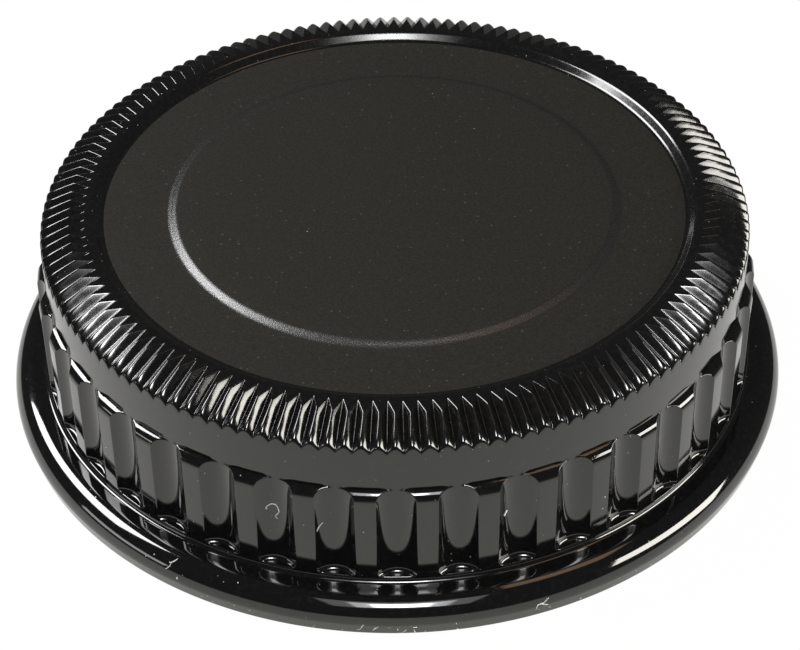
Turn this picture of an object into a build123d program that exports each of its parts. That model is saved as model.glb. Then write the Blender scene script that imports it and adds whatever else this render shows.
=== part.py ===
"""Rear lens cap: one moulded piece, standing open end down on its flange.

The cap's axis is Z, the underside of its flange is the plane Z = 0 and its front is towards -Y.
Angles run anticlockwise from +X, seen from above.
"""
import math
import os

from build123d import *

# Overall sizes, mm
flange_diameter = 62.0
cap_height = 16.5

# Flange: a flat ring with a round upper edge and a short drafted side
flange_height = 2.8
flange_edge_round = 1.75
flange_side_draft = 0.25

# Grip: upright ribs with round tops, parted by hollow flutes that stop above a foot
grip_diameter = 56.56
foot_height = 3.26
foot_bevel = 0.5
rib_count = 40
rib_face_width = 1.52
rib_top_height = 11.35
rib_top_round = 0.9
flute_bottom_round = 0.6
first_rib_angle = -95.0

# Smooth band between the grip and the knurled edge, flush with the flutes' floors
band_diameter = 55.16

# Knurled edge: straight V grooves across the upper corner that run out at both ends
groove_count = 144
groove_top_diameter = 47.9
groove_bottom_height = 14.74
groove_half_angle = 45.0
crest_stock = 0.08
first_groove_angle = -89.25

# Top: a recessed disc inside a smooth rim, with a shallow ring groove
disc_diameter = 45.3
disc_recess = 0.45
rim_wall_width = 0.75
ring_diameter = 34.6
ring_width = 0.9
ring_depth = 0.1

# Inside: a wider mouth, a bore over the lens mount, and lugs that turn in behind the mount's own lugs
mount_lug_diameter = 49.0
mount_lug_clearance = 0.5
mount_throat_diameter = 45.0
mount_throat_clearance = 0.4
mouth_depth = 1.2
mouth_relief = 0.4
plate_thickness = 2.0
lug_count = 3
lug_arc = 44.0
lug_thickness = 1.5
stop_arc = 3.0
stop_height = 2.5
stop_depth = 1.2

# How far a cutter reaches past what it cuts, and a lug or the grip into the wall that carries it
overlap = 0.6
# How far the flutes' cutter dips under the band, so that a rib's flank meets it at a clear angle
flank_dip = 0.03
# How many flats stand for the flange's edge round, a flute's hollow, and the small rounds on the ribs and flutes
edge_flats = 5
flute_flats = 4
rib_flats = 2

flange_radius = flange_diameter / 2
grip_radius = grip_diameter / 2
band_radius = band_diameter / 2
groove_top_radius = groove_top_diameter / 2
disc_radius = disc_diameter / 2
rim_inner_radius = disc_radius + rim_wall_width
disc_height = cap_height - disc_recess
ring_radius = ring_diameter / 2
bore_radius = mount_lug_diameter / 2 + mount_lug_clearance
mouth_radius = bore_radius + mouth_relief
lug_inner_radius = mount_throat_diameter / 2 + mount_throat_clearance
ceiling_height = disc_height - plate_thickness

# A groove's root line falls outwards from the rim to the band
groove_run = band_radius - groove_top_radius
groove_drop = cap_height - groove_bottom_height
groove_length = math.hypot(groove_run, groove_drop)
groove_slope = math.atan2(groove_drop, groove_run)
crest_height = math.pi * band_radius / groove_count / math.tan(math.radians(groove_half_angle))
stock_height = crest_height + crest_stock


def turned(*points):
    """Solid of revolution about the axis, from the points of its half section (radius, height)."""
    return revolve(make_face(Plane.XZ * Polyline(*points, close=True)), Axis.Z)


def arc_points(centre, radius, first_angle, turn, flats):
    """Points of an arc, as the ends of its flats."""
    angles = [first_angle + turn * i / flats for i in range(flats + 1)]
    return [Vector(centre) + Vector(radius, 0).rotate(Axis.Z, angle) for angle in angles]


def around(piece, count, first_angle):
    """Copies of a piece made on +X, spaced evenly about the axis."""
    return [Rot(0, 0, first_angle + 360 * i / count) * piece for i in range(count)]


def core():
    """Turned body of the cap, without its grip."""
    edge_centre = (flange_radius - flange_edge_round, flange_height - flange_edge_round)
    return turned(
        (mouth_radius, 0),
        (flange_radius - flange_side_draft, 0),
        *arc_points(edge_centre, flange_edge_round, 0, 90, edge_flats),
        (band_radius, flange_height),
        (band_radius, groove_bottom_height + stock_height / math.cos(groove_slope)),
        (groove_top_radius + stock_height / math.sin(groove_slope), cap_height),
        (rim_inner_radius, cap_height),
        (disc_radius, disc_height),
        (0, disc_height),
        (0, ceiling_height),
        (bore_radius, ceiling_height),
        (bore_radius, mouth_depth),
        (mouth_radius, mouth_depth),
    )


def grip_blank():
    """Ring that the flutes are cut from: a bevelled foot, a straight face and a round top."""
    inner_radius = band_radius - overlap
    bottom = flange_height - overlap
    bevel_radius = grip_radius + foot_bevel
    top_centre = (grip_radius - rib_top_round, rib_top_height - rib_top_round)
    return turned(
        (inner_radius, rib_top_height),
        (inner_radius, bottom),
        (bevel_radius, bottom),
        (bevel_radius, flange_height),
        (grip_radius, flange_height + foot_bevel),
        *arc_points(top_centre, rib_top_round, 0, 90, rib_flats),
    )


def flute():
    """Cutter for the hollow between two ribs: an arc in plan drawn upwards, less what its side view rounds off."""
    pitch = 2 * math.pi * grip_radius / rib_count
    half_width = (pitch - rib_face_width) / 2
    floor_radius = band_radius - flank_dip
    outer_radius = grip_radius + overlap
    top_height = rib_top_height + overlap
    depth = math.sqrt(grip_radius**2 - half_width**2) - floor_radius
    hollow_radius = (half_width**2 + depth**2) / (2 * depth)
    half_turn = 2 * math.degrees(math.atan2(depth, half_width))
    hollow = arc_points((floor_radius + hollow_radius, 0), hollow_radius, 180 - half_turn, 2 * half_turn, flute_flats)
    bottom_centre = (floor_radius + flute_bottom_round, foot_height + flute_bottom_round)
    bottom = arc_points(bottom_centre, flute_bottom_round, 180, 90, rib_flats)
    plan = Polyline((outer_radius, half_width), *hollow, (outer_radius, -half_width), close=True)
    tall = [(outer_radius, top_height), (floor_radius, top_height)]
    side = Polyline(*tall, *bottom, (outer_radius, foot_height), close=True)
    upright = extrude(make_face(plan), top_height)
    return upright & extrude(make_face(Plane.XZ * side), half_width, both=True)


def grip():
    """Ring of upright ribs on a foot."""
    return grip_blank() - around(flute(), rib_count, first_rib_angle + 180 / rib_count)


def groove():
    """Cutter for one V groove: a triangle drawn along the root line and past both its ends."""
    fall = Vector(math.cos(groove_slope), 0, -math.sin(groove_slope))
    start = Vector(groove_top_radius, 0, cap_height) - fall * overlap
    height = stock_height + overlap
    half_width = height * math.tan(math.radians(groove_half_angle))
    across = Plane(origin=start, x_dir=(0, 1, 0), z_dir=fall)
    triangle = make_face(Polyline((0, 0), (half_width, height), (-half_width, height), close=True))
    return extrude(across * triangle, groove_length + 2 * overlap)


def ring_groove():
    """Cutter for the shallow flat-bottomed ring on the disc."""
    half_width = ring_width / 2
    inner_wall = Cylinder(ring_radius - half_width, 2 * ring_depth)
    return Pos(0, 0, disc_height) * (Cylinder(ring_radius + half_width, 2 * ring_depth) - inner_wall)


def wall_block(inner_radius, bottom, height, spread):
    """Block on the inside of the bore, from a radius out into the wall, over an angle centred on +X."""
    depth = bore_radius + overlap - inner_radius
    section = Plane.XZ * Pos(inner_radius, bottom) * Rectangle(depth, height, align=(Align.MIN, Align.MIN))
    return Rot(0, 0, -spread / 2) * revolve(section, Axis.Z, spread)


def lugs():
    """Bayonet lugs, and the stop at the end of the first that ends the turn."""
    lug = wall_block(lug_inner_radius, mouth_depth, lug_thickness, lug_arc)
    stop = wall_block(bore_radius - stop_depth, mouth_depth, lug_thickness + stop_height, stop_arc)
    stop_angle = first_rib_angle + (lug_arc - stop_arc) / 2
    return around(lug, lug_count, first_rib_angle) + [Rot(0, 0, stop_angle) * stop]


def rear_cap():
    """The whole cap, one solid. Neighbouring grooves overlap, so they are cut in two passes."""
    grooves = around(groove(), groove_count, first_groove_angle)
    cap = core() - grooves[0::2]
    cap -= grooves[1::2]
    cap -= ring_groove()
    cap += grip()
    cap += lugs()
    return cap


os.makedirs("parts", exist_ok=True)
export_step(rear_cap(), "parts/rear_cap.step")
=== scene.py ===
"""Rear lens cap on a bright table: the moulding's true surfaces, its finishes, its dust, light and camera.

Sizes are in millimetres until a mesh is made. A section is a row of (radius, height) points that runs
outwards over the top, down the outside, inwards underneath and up the bore, so that its faces point outwards.
"""
import math

import bpy
import numpy as np
from mathutils import Matrix


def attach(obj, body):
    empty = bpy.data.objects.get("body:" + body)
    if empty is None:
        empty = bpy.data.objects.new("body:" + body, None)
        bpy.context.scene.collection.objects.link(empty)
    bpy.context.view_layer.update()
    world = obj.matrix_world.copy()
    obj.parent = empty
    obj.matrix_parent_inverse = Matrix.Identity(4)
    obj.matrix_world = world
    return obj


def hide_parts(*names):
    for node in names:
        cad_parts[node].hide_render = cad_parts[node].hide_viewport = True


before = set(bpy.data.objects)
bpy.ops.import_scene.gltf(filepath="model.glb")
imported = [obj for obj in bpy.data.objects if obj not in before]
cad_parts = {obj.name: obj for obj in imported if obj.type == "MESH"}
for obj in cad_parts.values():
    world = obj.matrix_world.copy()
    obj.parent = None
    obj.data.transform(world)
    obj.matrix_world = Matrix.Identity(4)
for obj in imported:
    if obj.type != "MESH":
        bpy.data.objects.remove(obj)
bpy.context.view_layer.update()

MM = 0.001

# Cap sizes
cap_height = 16.5
bore_radius = 25.0
mouth_radius = 25.4
mouth_depth = 1.2
ceiling_height = 14.05
band_radius = 27.58

# Where pieces meet: the rim stands on the grip at a height, and laps the disc's edge from just under it
joint_height = 12.6
disc_lap = 0.03
disc_lap_drop = 0.01

# Heights of spare rows of points on the band, in the rim's piece and in the grip's
rim_band_rows = (14.2, 13.4)
grip_band_rows = (12.0, 11.6)

# Flange
flange_radius = 31.0
flange_height = 2.8
flange_edge_round = 1.75
flange_side_draft = 0.25
flange_lower_edge = 0.06
underside_row_inset = 0.3

# Grip
grip_radius = 28.28
rib_count = 40
rib_face_width = 1.52
rib_top_height = 11.35
rib_top_round = 0.9
rib_edge = 0.07
flute_bottom_round = 0.4
foot_height = 3.26
foot_edge = 0.13
least_foot_edge = 0.04
foot_fillet = 0.38
first_rib_angle = math.radians(-95.0)

# How far rows of points slide down a rib where a stretch has no length, and what counts as none
no_length = 0.05
top_slide = 0.012
brow_drop = 0.02
shelf_slide = 0.01
shelf_lift = 0.06

# Knurled edge
groove_count = 144
groove_top_radius = 23.95
groove_slope = math.radians(24.0)
roll_radius = 26.9
roll_slope = math.radians(46.0)
groove_root_round = 0.08
groove_crest_round = 0.09
crest_foot_round = 0.5
crest_spread_radius = 25.4
leaf_edge = 0.16
leaf_foot_edge = 0.2
first_groove_angle = math.radians(-89.25)

# How far along a groove's wall its direction is taken, at its upper and its lower end
leaf_look = 0.5
foot_look = 0.05

# Top
disc_radius = 22.6
disc_height = 16.16
disc_edge_height = 15.87
rim_inner_radius = 23.65
rim_wall_slope = math.radians(43.5)
rim_flat_start = 0.07
disc_under_row = 12.0
ring_radius = 17.3
ring_width = 0.84

# Bayonet lugs
lug_inner_radius = 22.9
lug_thickness = 1.5
lug_arc = math.radians(44.0)
stop_arc = math.radians(3.0)
stop_height = 2.5
stop_depth = 1.2
lug_edge = 0.12
lug_sink = 0.3

# Camera: place in metres, pitch, pan and roll in degrees, sensor and lens in millimetres
camera_place = (0.0, -0.148875, 0.127539)
camera_turn = (39.825, 0.108, 0.945)
sensor_width = 36.0
lens_length = 107.28


class Wire:
    """A shader socket that adds a Math node wherever it is used in arithmetic."""

    def __init__(self, finish, socket):
        self.finish = finish
        self.socket = socket

    def maths(self, operation, *values):
        return self.finish.node("ShaderNodeMath", {"operation": operation}, dict(enumerate(values)))

    def __add__(self, other):
        return self.maths("ADD", self, other)

    def __radd__(self, other):
        return self.maths("ADD", other, self)

    def __sub__(self, other):
        return self.maths("SUBTRACT", self, other)

    def __rsub__(self, other):
        return self.maths("SUBTRACT", other, self)

    def __mul__(self, other):
        return self.maths("MULTIPLY", self, other)

    def __rmul__(self, other):
        return self.maths("MULTIPLY", other, self)

    def __truediv__(self, other):
        return self.maths("DIVIDE", self, other)

    def __pow__(self, other):
        return self.maths("POWER", self, other)

    def above(self, edge):
        return self.maths("GREATER_THAN", self, edge)

    def most(self, other):
        return self.maths("MAXIMUM", self, other)

    def size(self):
        return self.maths("ABSOLUTE", self)

    def rise(self, low, high):
        """Smooth step from 0 at low to 1 at high."""
        sockets = {"Value": self, "From Min": low, "From Max": high}
        return self.finish.node("ShaderNodeMapRange", {"interpolation_type": "SMOOTHSTEP"}, sockets)


class Finish:
    """A material, or the world, while its nodes are wired up."""

    def __init__(self, owner):
        owner.use_nodes = True
        self.owner = owner
        self.tree = owner.node_tree
        self.tree.nodes.clear()

    def node(self, kind, settings=None, sockets=None, output=0):
        """New node: settings first, then a value or a Wire for each named socket; gives back one output."""
        made = self.tree.nodes.new(kind)
        for name, value in (settings or {}).items():
            setattr(made, name, value)
        for name, value in (sockets or {}).items():
            if isinstance(value, Wire):
                self.tree.links.new(value.socket, made.inputs[name])
            else:
                made.inputs[name].default_value = value
        return Wire(self, made.outputs[output]) if len(made.outputs) else made

    def mix(self, share, first, second):
        """Colour that goes from first to second as share goes from 0 to 1."""
        sockets = {0: share, 6: first, 7: second}
        return self.node("ShaderNodeMix", {"data_type": "RGBA"}, sockets, 2)

    def noise(self, place, scale, detail=2.0, roughness=0.5):
        """Cloudy noise, about 0.5 on average; scale is in lumps per millimetre."""
        sockets = {"Vector": place, "Scale": scale / MM, "Detail": detail, "Roughness": roughness}
        return self.node("ShaderNodeTexNoise", None, sockets, "Fac")

    def spot(self, place):
        """Distance from the axis and height, in millimetres, of a place on the cap."""
        x, y, z = [self.node("ShaderNodeSeparateXYZ", None, {0: place}, i) for i in range(3)]
        return (x * x + y * y) ** 0.5 / MM, z / MM

    def specks(self, place, per_mm, radius, share):
        """1 on round specks: a share of the cells of a honeycomb, so many to a millimetre, hold one each."""
        sockets = {"Vector": place, "Scale": per_mm / MM}
        distance = self.node("ShaderNodeTexVoronoi", None, sockets, "Distance")
        chance = Wire(self, distance.socket.node.outputs["Color"])
        drawn, breadth = [self.node("ShaderNodeSeparateColor", None, {0: chance}, i) for i in range(2)]
        edge = radius * (0.35 + breadth) - distance / per_mm
        return edge.rise(0.0, 0.4 * radius) * drawn.above(1 - share)

    def bump(self, height, strength, distance):
        """Normal that follows a height; distance is the depth in millimetres of a height of 1."""
        sockets = {"Height": height, "Strength": strength, "Distance": distance * MM}
        return self.node("ShaderNodeBump", None, sockets)

    def done(self, shader, kind="ShaderNodeOutputMaterial"):
        self.node(kind, None, {"Surface": shader})
        return self.owner


def polar(radius, angle, height):
    """Points from a radius, an angle round the axis and a height, each an array of rows by columns."""
    return np.stack(np.broadcast_arrays(radius * np.cos(angle), radius * np.sin(angle), height), axis=-1)


def rounded(before, corner, after, reach, steps):
    """Corner rounded by a parabola that leaves the two sides at a distance reach from it, ends included."""
    t = np.linspace(0.0, 1.0, steps + 1).reshape((-1,) + (1,) * np.ndim(corner))
    back = (before - corner) / np.linalg.norm(before - corner, axis=-1, keepdims=True)
    on = (after - corner) / np.linalg.norm(after - corner, axis=-1, keepdims=True)
    reach = np.asarray(reach)[..., None]
    return corner + back * reach * (1 - t) ** 2 + on * reach * t ** 2


def shell(points, poles=False):
    """Closed mesh over a grid of rows by columns: vertices, corners of faces and each face's corner count.

    Columns close on themselves. Rows do too, or with poles the first and the last row shrink to one point.
    """
    body = points[1:-1] if poles else points
    vertices = body.reshape(-1, 3)
    index = np.arange(len(vertices)).reshape(body.shape[:2])
    here, after = (index[:-1], index[1:]) if poles else (index, np.roll(index, -1, 0))
    quads = np.stack([here, after, np.roll(after, -1, 1), np.roll(here, -1, 1)], axis=-1)
    corners = [quads.ravel()]
    sides = [np.full(here.size, 4)]
    if poles:
        first, last = index[0], index[-1]
        tip = np.full(first.size, len(vertices))
        fans = [
            np.stack([tip, first, np.roll(first, -1)], -1),
            np.stack([tip + 1, np.roll(last, -1), last], -1),
        ]
        vertices = np.concatenate([vertices, points[:1, 0], points[-1:, 0]])
        corners += [fan.ravel() for fan in fans]
        sides += [np.full(first.size * 2, 3)]
    return vertices, np.concatenate(corners), np.concatenate(sides)


def piece(name, vertices, corners, sides, finish):
    """Object from vertices in millimetres, its faces' corners in one run and each face's corner count."""
    mesh = bpy.data.meshes.new(name)
    mesh.vertices.add(len(vertices))
    mesh.vertices.foreach_set("co", (vertices * MM).ravel())
    mesh.loops.add(len(corners))
    mesh.loops.foreach_set("vertex_index", corners)
    mesh.polygons.add(len(sides))
    mesh.polygons.foreach_set("loop_start", np.cumsum(sides) - sides)
    mesh.polygons.foreach_set("use_smooth", np.ones(len(sides), bool))
    mesh.update(calc_edges=True)
    mesh.set_sharp_from_angle(angle=math.radians(50.0))
    mesh.materials.append(finish)
    made = bpy.data.objects.new(name, mesh)
    bpy.context.collection.objects.link(made)
    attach(made, "root")
    return made


def skin(name, points, finish, poles=False):
    """Object with one closed mesh over a grid."""
    return piece(name, *shell(points, poles), finish)


def top_disc(finish):
    """Plate closed at both poles: flat, with a soft step at the ring, half a wave of a cosine in section."""
    t = np.linspace(0.0, 1.0, 13)
    inner = np.linspace(0.0, ring_radius - ring_width / 2, 10)[:-1]
    ring = ring_radius + (t - 0.5) * ring_width
    outer = np.linspace(ring_radius + ring_width / 2, disc_radius, 8)[1:]
    radius = np.concatenate([inner, ring, outer, [disc_radius, disc_under_row, 0.0]])
    height = np.concatenate([
        np.full(len(inner), disc_height),
        disc_height - (disc_height - disc_edge_height) * (1 - np.cos(math.pi * t)) / 2,
        np.full(len(outer), disc_edge_height),
        np.full(3, ceiling_height),
    ])
    angle = np.linspace(0.0, 2 * math.pi, 720, endpoint=False)
    return skin("top_disc", polar(radius[:, None], angle, height[:, None]), finish, poles=True)


def rim_and_knurl(finish):
    """Ring under the knurled edge. Its section changes round the axis with h, the grooves' rounded zigzag.

    A groove's wall stands above its root line by the sideways distance from it, so at radius r and at a
    share f of half a pitch the height is root height + r * (half pitch) * h(f) / cos(slope). The root line
    falls straight and then rolls over in an arc, and the sine of its slope grows evenly with r. The round on
    the crests widens evenly with r down to the band. The wall meets the flat rim in the leaf-shaped edge and
    the band in the zigzag lower edge, and both corners are rounded.
    The rim's inner wall is a straight cone between two equal arcs, whose radius is
    (run * sin(slope) - climb * cos(slope)) / (2 - 2 * cos(slope)).
    """
    half = np.array([0.0, 0.05, 0.1, 0.3, 0.55, 0.8, 0.88, 0.95])
    share = np.concatenate([half, [1.0], -half[:0:-1]])
    share = np.tile(share, groove_count)
    middle = np.repeat(np.arange(groove_count), 2 * len(half))
    half_pitch = math.pi / groove_count
    wrapped = np.abs(share)
    root = (wrapped ** 2 + groove_root_round ** 2) / (2 * groove_root_round)
    valley = np.where(wrapped < groove_root_round, root, wrapped)
    turn = 2 * half_pitch * middle + half_pitch * share
    turn = np.where(share < 0, turn + 2 * half_pitch, turn)
    angle = first_groove_angle + turn
    roll = (band_radius - roll_radius) / (math.sin(roll_slope) - math.sin(groove_slope))

    def lift(radius):
        down = np.clip((radius - crest_spread_radius) / (band_radius - crest_spread_radius), 0.0, 1.0)
        crest_round = groove_crest_round + (crest_foot_round - groove_crest_round) * down
        crest = 1 - crest_round / 2 - (1 - wrapped) ** 2 / (2 * crest_round)
        return half_pitch * np.where(wrapped > 1 - crest_round, crest, valley) / math.cos(groove_slope)

    def wall_point(radius):
        straight = cap_height - (radius - groove_top_radius) * math.tan(groove_slope)
        past = np.maximum(radius - roll_radius, 0.0)
        sine = math.sin(groove_slope) + past / roll
        fall = roll * (math.cos(groove_slope) - np.sqrt(1 - sine ** 2)) - past * math.tan(groove_slope)
        return np.stack([radius, straight - fall + radius * lift(radius)], -1)

    fall_rate = math.tan(groove_slope)
    edge_radius = groove_top_radius * fall_rate / (fall_rate - lift(groove_top_radius))
    top = wall_point(edge_radius)
    foot = wall_point(np.full_like(angle, band_radius))
    leaf = rounded(top - (1, 0), top, wall_point(edge_radius + leaf_look), leaf_edge, 5)
    before_foot = wall_point(np.full_like(angle, band_radius - foot_look))
    lower = rounded(before_foot, foot, foot - (0, 1), leaf_foot_edge, 5)
    along = np.array([0.3, 0.55, 0.72, 0.82, 0.9, 0.96])[:, None]
    wall = wall_point(leaf[-1, :, 0] + (lower[0, :, 0] - leaf[-1, :, 0]) * along)

    lap_radius = disc_radius - disc_lap
    start = np.array([lap_radius, disc_edge_height - disc_lap_drop])
    end = np.array([rim_inner_radius, cap_height])
    run, climb = end - start
    bend = np.linspace(0.0, rim_wall_slope, 6)
    sine, cosine = math.sin(rim_wall_slope), math.cos(rim_wall_slope)
    arc_radius = (run * sine - climb * cosine) / (2 - 2 * cosine)
    arc = arc_radius * np.stack([np.sin(bend), 1 - np.cos(bend)], -1)
    foot_end, brow_end = start + arc[-1], end - arc[-1]
    straight = foot_end + (brow_end - foot_end) * np.array([[0.1], [0.9]])
    rim_wall = np.concatenate([start + arc, straight, (end - arc)[::-1]])
    flat = [(rim_inner_radius + rim_flat_start, cap_height)]
    below = [(band_radius, row) for row in rim_band_rows] + [
        (band_radius, joint_height), (bore_radius, joint_height),
        (bore_radius, ceiling_height), (lap_radius, ceiling_height),
    ]
    across = np.ones((1, len(angle), 1))
    rows = [np.array(part)[:, None] * across for part in (rim_wall, flat)]
    rows += [leaf, wall, lower, np.array(below)[:, None] * across]
    section = np.concatenate(rows)
    return skin("rim_and_knurl", polar(section[..., 0], angle, section[..., 1]), finish)


def flute_plan():
    """Half width of a flute at the grip's face, its depth there, and the radius of its hollow in plan."""
    half_width = (2 * math.pi * grip_radius / rib_count - rib_face_width) / 2
    depth = math.sqrt(grip_radius ** 2 - half_width ** 2) - band_radius
    return half_width, depth, (half_width ** 2 + depth ** 2) / (2 * depth)


def grip_ring(finish):
    """Ring of ribs. One pitch is drawn in plan, x outwards through the flute's middle and y sideways.

    A flute is what an upright round-nosed cutter leaves: an arc in plan that touches the band, and at its
    lower end a small round onto a level shelf. Each column keeps its place on the plan and runs down the
    outside: out over the rib's round top as far as the plan allows, round the edge, down the wall, out along
    the flute's bottom to the foot's face, down it and round the fillet onto the flange. Where a stretch has
    no length its rows slide down the wall by a little instead, so that none of them coincide.
    """
    half_width, depth, hollow = flute_plan()
    edge_x = band_radius + depth
    axis_x = band_radius + hollow
    spread = 2 * math.atan2(depth, half_width)

    face_angle = np.linspace(math.pi / rib_count, math.asin((half_width + rib_edge) / grip_radius), 4)[:-1]
    face = np.stack([grip_radius * np.cos(face_angle), grip_radius * np.sin(face_angle)], -1)
    corner = np.array([edge_x, half_width])
    edge = rounded(corner + (0, 1), corner, corner - (math.sin(spread), math.cos(spread)), rib_edge, 5)
    bend = np.linspace(spread - 1.5 * rib_edge / hollow, 0.0, 14)
    wall = np.stack([axis_x - hollow * np.cos(bend), hollow * np.sin(bend)], -1)
    plan = np.concatenate([face, edge, wall])
    plan = np.concatenate([plan, plan[-2:0:-1] * (1, -1)])[::-1]
    x, y = np.tile(plan, (rib_count, 1)).T
    flute_angle = np.repeat(np.arange(rib_count) + 0.5, len(plan)) * 2 * math.pi / rib_count + first_rib_angle
    radius = np.clip(np.hypot(x, y), band_radius, grip_radius)
    side = np.arctan2(y, x)

    centre_radius = grip_radius - rib_top_round
    centre_height = rib_top_height - rib_top_round
    start = math.acos((band_radius - centre_radius) / rib_top_round)
    stop = np.arccos(np.clip((radius - centre_radius) / rib_top_round, 0.0, 1.0))
    length = rib_top_round * (start - stop)
    reach = np.minimum(rib_edge, 0.45 * length)
    last = np.where(stop > 0, stop + reach / rib_top_round, 0.0)
    sweep = start + (last - start) * np.linspace(0.0, 1.0, 10)[:, None]
    top_radius = centre_radius + rib_top_round * np.cos(sweep)
    top = np.stack([top_radius, centre_height + rib_top_round * np.sin(sweep)], -1)
    brow = np.stack([radius, centre_height + rib_top_round * np.sin(stop)], -1)
    under = brow - np.stack([np.zeros_like(reach), reach + brow_drop], -1)
    t = np.linspace(0.25, 1.0, 4)[:, None, None]
    turn = top[-1] * (1 - t) ** 2 + brow * 2 * t * (1 - t) + under * t ** 2
    top = np.concatenate([top, turn])
    slide = top_slide * np.exp(-length / no_length)
    top[..., 1] -= slide * np.arange(len(top))[:, None]

    face_here = np.sqrt(grip_radius ** 2 - y ** 2)
    out = x + (face_here - x) * (1 - np.cos(np.linspace(0.0, math.pi / 2, 11)))[:, None]
    nose = np.hypot(axis_x - out, y) - (hollow - flute_bottom_round)
    nose = np.clip(nose, 0.0, flute_bottom_round)
    out_height = foot_height + flute_bottom_round - np.sqrt(flute_bottom_round ** 2 - nose ** 2)
    shelf_length = np.maximum(face_here - x, 0.0)
    shelf_gone = np.exp(-shelf_length / no_length)
    out_height += (shelf_lift - shelf_slide * np.arange(len(out))[:, None]) * shelf_gone
    wall_share = np.array([0.12, 0.3, 0.5, 0.7, 0.88])[:, None]
    wall_height = top[-1, :, 1] + (out_height[0] - top[-1, :, 1]) * wall_share

    lip = np.minimum(foot_edge, 0.4 * shelf_length)
    t = np.linspace(0.0, 1.0, 7)[:, None]
    out[-1] = face_here - lip
    lip_x = face_here - lip * (1 - t) ** 2
    lip_height = out_height[-1] - np.maximum(lip, least_foot_edge) * t ** 2
    bend = np.linspace(math.pi, 1.5 * math.pi, 8)[:, None]
    fillet_radius = grip_radius + foot_fillet + foot_fillet * np.cos(bend)
    fillet_height = flange_height + foot_fillet + foot_fillet * np.sin(bend)

    foot_side = np.arcsin(y / grip_radius)
    one = np.ones((1, len(x)))
    above = [(bore_radius, joint_height), (band_radius, joint_height)]
    above = np.array(above + [(band_radius, row) for row in grip_band_rows])
    blocks = [
        (above[:, :1] * one, above[:, 1:] * one, side * one),
        (top[..., 0], top[..., 1], side * one),
        (radius * np.ones_like(wall_height), wall_height, side * one),
        (np.hypot(out, y), out_height, np.arctan2(y, out)),
        (np.hypot(lip_x[1:], y), lip_height[1:], np.arctan2(y, lip_x[1:])),
        (fillet_radius * one, fillet_height * one, foot_side * one),
        (np.full((1, len(x)), bore_radius), np.full((1, len(x)), flange_height), foot_side * one),
    ]
    rows = [polar(r, a + flute_angle, h) for r, h, a in blocks]
    return skin("grip_ring", np.concatenate(rows), finish)


def flange(finish):
    """Turned ring: flat top, quarter-round edge, short drafted side, flat underside and stepped mouth."""
    bend = np.linspace(math.pi / 2, 0.0, 19)
    edge_radius = flange_radius - flange_edge_round + flange_edge_round * np.cos(bend)
    edge_height = flange_height - flange_edge_round + flange_edge_round * np.sin(bend)
    edge = np.stack([edge_radius, edge_height], -1)
    low = np.array([flange_radius - flange_side_draft, 0.0])
    side = edge[-1] + (low - edge[-1]) * np.array([[0.1], [0.4], [0.8]])
    inner_top = [(bore_radius, flange_height), (grip_radius + foot_fillet, flange_height)]
    lower_edge = rounded(side[-1], low, low - (1, 0), flange_lower_edge, 4)
    mouth = [
        (low[0] - underside_row_inset, 0.0), (mouth_radius, 0.0),
        (mouth_radius, mouth_depth), (bore_radius, mouth_depth),
    ]
    section = np.concatenate([inner_top, edge, side, lower_edge, mouth])
    angle = np.linspace(0.0, 2 * math.pi, 1440, endpoint=False)
    return skin("flange", polar(section[:, :1], angle, section[:, 1:]), finish)


def lug(name, inner_radius, height, middle, spread, finish):
    """Block on the bore's wall: a rectangle with rounded corners carried round the axis, with closed ends."""
    low, high = mouth_depth, mouth_depth + height
    outer_radius = bore_radius + lug_sink
    box = np.array([(inner_radius, low), (inner_radius, high), (outer_radius, high), (outer_radius, low)])
    sides = [rounded(box[i - 1], box[i], box[(i + 1) % 4], lug_edge, 4) for i in range(4)]
    section = np.concatenate(sides)
    angle = middle + np.linspace(-0.5, 0.5, 26) * spread
    ring = polar(section[:, 0], angle[:, None], section[:, 1])
    ends = [np.repeat(ring[i:i + 1].mean(1, keepdims=True), len(section), 1) for i in (0, -1)]
    return skin(name, np.concatenate([ends[0], ring, ends[1]]), finish, poles=True)


def flute_radius(angle):
    """Distance from the axis of the flutes' hollow at an angle: an arc about a point outside the grip."""
    hollow = flute_plan()[2]
    pitch = 2 * math.pi / rib_count
    aside = (angle - first_rib_angle) % pitch - pitch / 2
    far = band_radius + hollow
    return far * np.cos(aside) - np.sqrt(hollow ** 2 - (far * np.sin(aside)) ** 2)


def flange_side_radius(height):
    """Distance from the axis of the flange's outside at a height: its drafted side, and the round above."""
    knee = flange_height - flange_edge_round
    above = np.clip(height - knee, 0.0, flange_edge_round)
    below = np.clip(knee - height, 0.0, knee)
    round_radius = np.sqrt(flange_edge_round ** 2 - above ** 2)
    return flange_radius - flange_edge_round + round_radius - flange_side_draft * below / knee


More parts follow.
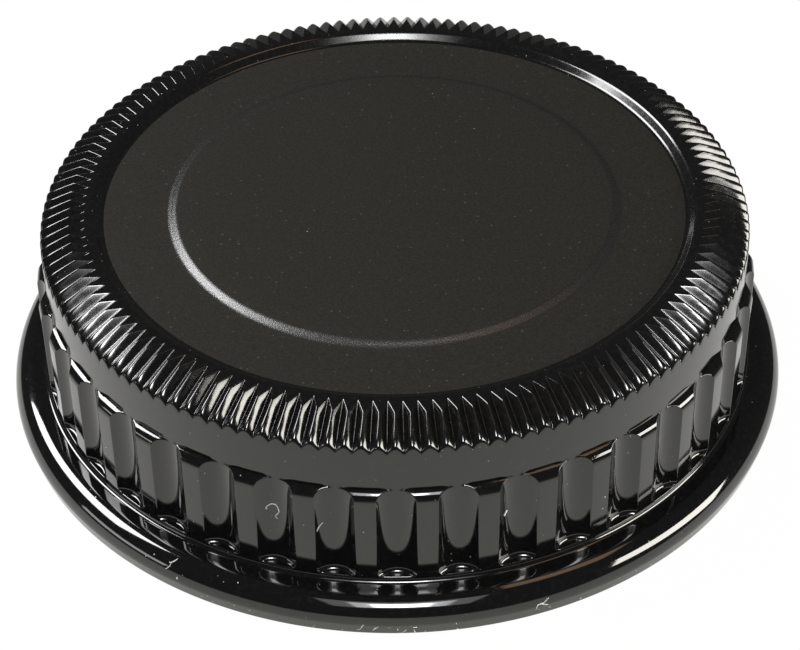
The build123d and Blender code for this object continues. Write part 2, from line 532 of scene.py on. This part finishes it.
def fibre(thickness, places, carrier):
    """Bit of lint that lies on the cap: a thin tube along a smooth line through places (degrees, height).

    The line is a Catmull-Rom curve in angle and height. The carrier gives the distance from the axis of the
    surface under it, from an angle and a height, and the tube sinks into that by a third of its thickness.
    """
    places = np.array(places)
    padded = np.concatenate([2 * places[:1] - places[1:2], places, 2 * places[-1:] - places[-2:-1]])
    t = np.linspace(0.0, 1.0, 7)[:-1, None, None]
    a, b, c, d = padded[:-3], padded[1:-2], padded[2:-1], padded[3:]
    line = b + 0.5 * t * (c - a + t * (2 * a - 5 * b + 4 * c - d + t * (3 * (b - c) + d - a)))
    line = np.concatenate([line.transpose(1, 0, 2).reshape(-1, 2), places[-1:]])
    angle, height = np.radians(line[:, 0]), line[:, 1]
    path = polar(carrier(angle, height) + thickness / 6, angle, height)
    ahead = np.gradient(path, axis=0)
    ahead /= np.linalg.norm(ahead, axis=1, keepdims=True)
    out = polar(np.ones_like(angle), angle, 0.0)
    out -= ahead * (out * ahead).sum(1, keepdims=True)
    out /= np.linalg.norm(out, axis=1, keepdims=True)
    aside = np.cross(out, ahead)
    round_angle = np.linspace(0.0, 2 * math.pi, 6, endpoint=False)[:, None]
    ring = out[:, None] * np.cos(round_angle) + aside[:, None] * np.sin(round_angle)
    taper = np.sin(np.linspace(0.12, 0.88, len(path)) * math.pi)[:, None, None] ** 0.4
    tube = path[:, None] + ring * taper * thickness / 2
    ends = [np.repeat(path[i:i + 1, None], len(round_angle), 1) for i in (0, -1)]
    return shell(np.concatenate([ends[0], tube, ends[1]]), poles=True)


def lint(name, fibres, carrier, finish):
    """Object with several bits of lint and grit, each given by its thickness and its places."""
    vertices, corners, sides = zip(*[fibre(thickness, places, carrier) for thickness, places in fibres])
    starts = np.cumsum([0] + [len(own) for own in vertices[:-1]])
    corners = [own + start for own, start in zip(corners, starts)]
    return piece(name, np.concatenate(vertices), np.concatenate(corners), np.concatenate(sides), finish)


def lint_grey(name):
    """Pale lint, a little uneven along its length."""
    finish = Finish(bpy.data.materials.new(name))
    place = finish.node("ShaderNodeTexCoord", None, None, "Object")
    patch = finish.noise(place, 3.0, 2.0)
    shader = finish.node("ShaderNodeBsdfPrincipled", None, {
        "Base Color": finish.mix(patch.rise(0.35, 0.65), (0.34, 0.34, 0.32, 1), (0.62, 0.62, 0.6, 1)),
        "Roughness": 0.8,
        "IOR": 1.45,
    })
    return finish.done(shader)


def gloss_black(name, polish):
    """Polished black moulding: near-black gloss with a faint waviness, fine handling marks, dust and scuffs.

    Dust lies in scattered specks all over. The scuffs are close together and only on the flange's lower edge,
    where the cap has been set down on rough places.
    """
    finish = Finish(bpy.data.materials.new(name))
    place = finish.node("ShaderNodeTexCoord", None, None, "Object")
    height = finish.spot(place)[1]
    wave = finish.noise(place, 0.35, 2.0)
    rub = finish.noise(place, 2.5, 4.0, 0.65)
    patch = finish.noise(place, 0.3, 2.0)
    dust = finish.specks(place, 0.8, 0.055, 0.55).most(0.6 * finish.specks(place, 1.9, 0.035, 0.5))
    scuffs = finish.specks(place, 2.4, 0.08, 0.6) * (1 - height.rise(0.3, 1.2)) * patch.rise(0.36, 0.55)
    marks = dust.most(scuffs)
    plastic = finish.mix(rub.rise(0.45, 0.75), (0.003, 0.003, 0.003, 1), (0.006, 0.006, 0.0058, 1))
    shader = finish.node("ShaderNodeBsdfPrincipled", None, {
        "Base Color": finish.mix(marks, plastic, (0.5, 0.5, 0.48, 1)),
        "Roughness": (polish + 0.05 * rub.rise(0.4, 0.8)).most(0.6 * marks),
        "IOR": 1.68,
        "Normal": finish.bump(wave, 0.3, 0.004),
    })
    return finish.done(shader)


def grained_black(name):
    """Matte top disc: a fine even grain, a shade browner than the rest, and a rough step that sparkles."""
    finish = Finish(bpy.data.materials.new(name))
    place = finish.node("ShaderNodeTexCoord", None, None, "Object")
    radius = finish.spot(place)[0]
    grain = finish.noise(place, 5.0, 3.0, 0.6)
    dust = finish.specks(place, 0.6, 0.06, 0.09).most(0.1 * finish.specks(place, 1.7, 0.08, 0.7))
    plastic = finish.mix(grain.rise(0.3, 0.7), (0.006, 0.0053, 0.0036, 1), (0.0115, 0.0103, 0.0073, 1))
    disc = finish.node("ShaderNodeBsdfPrincipled", None, {
        "Base Color": finish.mix(dust, plastic, (0.25, 0.25, 0.23, 1)),
        "Roughness": 0.62,
        "IOR": 1.5,
        "Specular IOR Level": 0.25,
        "Normal": finish.bump(grain, 0.6, 0.03),
    })
    sparkle = finish.noise(place, 9.0, 2.0, 0.7)
    step = finish.node("ShaderNodeBsdfPrincipled", None, {
        "Base Color": finish.mix(sparkle.rise(0.45, 0.7), (0.006, 0.006, 0.005, 1), (0.02, 0.02, 0.019, 1)),
        "Roughness": 0.36 - 0.14 * sparkle.rise(0.4, 0.7),
        "IOR": 1.6,
        "Specular IOR Level": 0.7,
        "Normal": finish.bump(sparkle, 0.7, 0.03),
    })
    on_step = 1 - (radius - ring_radius).size().rise(0.38, 0.45)
    return finish.done(finish.node("ShaderNodeMixShader", None, {0: on_step, 1: disc, 2: step}))


def table_paper(name):
    """White table: white to the eye. In the gloss its colour is painted light: a painted pool of light,
    bright beside the cap and dim further off, with painted shade in front.

    A small share is plain paper that takes the cap's shadow.
    """
    finish = Finish(bpy.data.materials.new(name))
    place = finish.node("ShaderNodeTexCoord", None, None, "Object")
    radius = finish.spot(place)[0]
    towards_back = finish.node("ShaderNodeSeparateXYZ", None, {0: place}, 1) / MM / radius
    seen = finish.node("ShaderNodeLightPath", None, None, "Is Camera Ray")
    gloss = finish.node("ShaderNodeLightPath", None, None, "Is Glossy Ray")
    paper = finish.node("ShaderNodeBsdfDiffuse", None, {"Color": (0.85, 0.85, 0.85, 1)})
    # Painted shade: in the gloss the table is darker and a little yellower in front of the cap than beside
    # and behind it.
    near_with_painted_front_shade = finish.mix(towards_back.rise(-0.97, -0.45), (0.84, 0.84, 0.78, 1), (1, 0.99, 0.965, 1))
    # Painted pool of light: in the gloss the table is bright out to 45 mm from the axis and fades to near
    # black by 90 mm.
    painted_light_in_gloss = finish.mix(radius.rise(45.0, 90.0), near_with_painted_front_shade, (0.13, 0.128, 0.12, 1))
    shown = finish.mix(seen, painted_light_in_gloss, (1, 1, 1, 1))
    glow = finish.node("ShaderNodeEmission", None, {"Color": shown, "Strength": 1.0})
    share = (0.97 * seen).most(gloss)
    return finish.done(finish.node("ShaderNodeMixShader", None, {0: share, 1: paper, 2: glow}))


def table(finish):
    """Flat square far larger than the view, just under the flange."""
    reach = 1500.0
    corners = np.array([(-1, -1), (1, -1), (1, 1), (-1, 1)]) * reach
    mesh = bpy.data.meshes.new("table")
    mesh.from_pydata(np.column_stack([corners, np.full(4, -0.01)]) * MM, [], [(0, 1, 2, 3)])
    mesh.materials.append(finish)
    made = bpy.data.objects.new("table", mesh)
    bpy.context.collection.objects.link(made)


def lamp(name, azimuth, elevation, distance, width, height, radiance, tint=(1, 1, 1), tilt=0.0):
    """Soft rectangular lamp that faces the cap, tilted in its plane; angles in degrees, sizes in metres."""
    a, e, t = np.radians([azimuth, elevation, tilt])
    away = np.array([math.cos(a) * math.cos(e), math.sin(a) * math.cos(e), math.sin(e)])
    level = np.array([-math.sin(a), math.cos(a), 0.0])
    right = math.cos(t) * level + math.sin(t) * np.cross(away, level)
    turn = np.stack([right, np.cross(away, right), away], -1)
    data = bpy.data.lights.new(name, "AREA")
    data.shape = "RECTANGLE"
    data.size = width
    data.size_y = height
    data.energy = radiance * math.pi * width * height
    data.color = tint
    made = bpy.data.objects.new(name, data)
    made.matrix_world = Matrix.Translation(away * distance) @ Matrix(turn.tolist()).to_4x4()
    bpy.context.collection.objects.link(made)


def camera():
    """Camera at the photograph's viewpoint, 40 degrees above the table."""
    pitch, pan, roll = np.radians(camera_turn)
    ahead = np.array([math.sin(pan) * math.cos(pitch), math.cos(pan) * math.cos(pitch), -math.sin(pitch)])
    right = np.array([math.cos(pan), -math.sin(pan), 0.0])
    up = np.cross(right, ahead)
    own_right = math.cos(roll) * right - math.sin(roll) * up
    own_up = math.sin(roll) * right + math.cos(roll) * up
    turn = np.stack([own_right, own_up, -ahead], -1)
    data = bpy.data.cameras.new("camera")
    data.sensor_width = sensor_width
    data.lens = lens_length
    data.clip_start = 0.005
    made = bpy.data.objects.new("camera", data)
    made.matrix_world = Matrix.Translation(camera_place) @ Matrix(turn.tolist()).to_4x4()
    bpy.context.collection.objects.link(made)
    bpy.context.scene.camera = made


gloss = gloss_black("gloss_black", 0.05)
satin = gloss_black("satin_black", 0.13)
grained = grained_black("grained_black")
disc = top_disc(grained)
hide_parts("rear_cap")
rim_and_knurl(satin)
grip_ring(gloss)
flange(gloss)
for i in range(3):
    lug_angle = first_rib_angle + i * 2 * math.pi / 3
    lug(f"lug_{i + 1}", lug_inner_radius, lug_thickness, lug_angle, lug_arc, gloss)
stop_angle = first_rib_angle + (lug_arc - stop_arc) / 2
lug("stop", bore_radius - stop_depth, lug_thickness + stop_height, stop_angle, stop_arc, gloss)

pale_lint = lint_grey("lint_grey")
flute_lint = [
    (0.075, [
        (-110.05, 8.2), (-110.2, 8.32), (-109.85, 8.55), (-109.33, 8.71), (-108.78, 8.66),
        (-108.4, 8.37), (-108.29, 7.99), (-108.7, 7.69), (-108.88, 7.47), (-108.47, 7.26),
    ]),
    (0.085, [(-101.34, 7.94), (-101.71, 7.8), (-102.02, 7.55), (-102.2, 7.25)]),
    (0.12, [(-74.5, 7.85), (-74.25, 8.04), (-73.92, 8.26)]),
]
flange_lint = [
    (0.11, [(-71.62, 0.83), (-71.53, 1.2), (-71.26, 1.28), (-70.61, 1.33), (-70.18, 1.49), (-69.72, 1.66)]),
    (0.11, [(-70.9, 1.28), (-70.4, 1.13), (-69.95, 1.06)]),
    (0.06, [(-96.05, 0.36), (-95.55, 0.54), (-95.3, 0.96), (-95.05, 1.12)]),
    (0.08, [(-93.9, 0.4), (-93.7, 0.64), (-93.4, 0.78), (-93.1, 0.96)]),
    (0.07, [(-89.95, 0.14), (-89.65, 0.34), (-89.35, 0.56)]),
    (0.07, [(-88.5, 0.82), (-88.22, 0.83), (-87.95, 0.8)]),
    (0.07, [(-88.4, 0.48), (-88.3, 0.24), (-88.15, 0.1)]),
    (0.09, [(-123.8, 2.26), (-123.5, 2.3), (-123.1, 2.44), (-122.85, 2.58)]),
    (0.06, [(-124.1, 1.76), (-123.6, 2.04), (-123.5, 2.28)]),
    (0.12, [(-90.62, 0.56), (-90.48, 0.58)]),
    (0.11, [(-86.95, 0.2), (-86.82, 0.26)]),
    (0.1, [(-82.75, 0.92), (-82.65, 0.94)]),
    (0.18, [(-122.07, 1.46), (-121.9, 1.55)]),
    (0.12, [(-126.55, 2.26), (-126.42, 2.28)]),
    (0.11, [(-127.7, 1.94), (-127.6, 1.95)]),
]
lint("flute_lint", flute_lint, lambda angle, height: flute_radius(angle), pale_lint)
lint("flange_lint", flange_lint, lambda angle, height: flange_side_radius(height), pale_lint)

table(table_paper("table_paper"))
lamp("front_lamp", -90, 55, 0.7, 0.14, 0.17, 28.0)
lamp("front_glow", -90, 56, 0.71, 0.24, 0.26, 4.5)
lamp("front_haze", -90, 58, 0.72, 0.38, 0.34, 1.2)
lamp("left_lamp", 151, 44, 0.8, 0.5, 0.27, 15.0, tilt=28)
lamp("left_card", -166, 10, 0.8, 0.4, 0.12, 3.5)
lamp("right_lamp", -13, 21, 0.8, 0.5, 0.27, 13.0, (1, 0.97, 0.9), tilt=-27)
lamp("top_lamp", 15, 70, 0.8, 0.22, 0.22, 1.5, (1, 0.66, 0.42))
world = Finish(bpy.data.worlds.new("room"))
dim_grey = world.node("ShaderNodeBackground", None, {"Color": (0.05, 0.05, 0.052, 1)})
world.done(dim_grey, "ShaderNodeOutputWorld")
bpy.context.scene.world = world.owner
camera()
bpy.context.scene.view_settings.view_transform = "Standard"
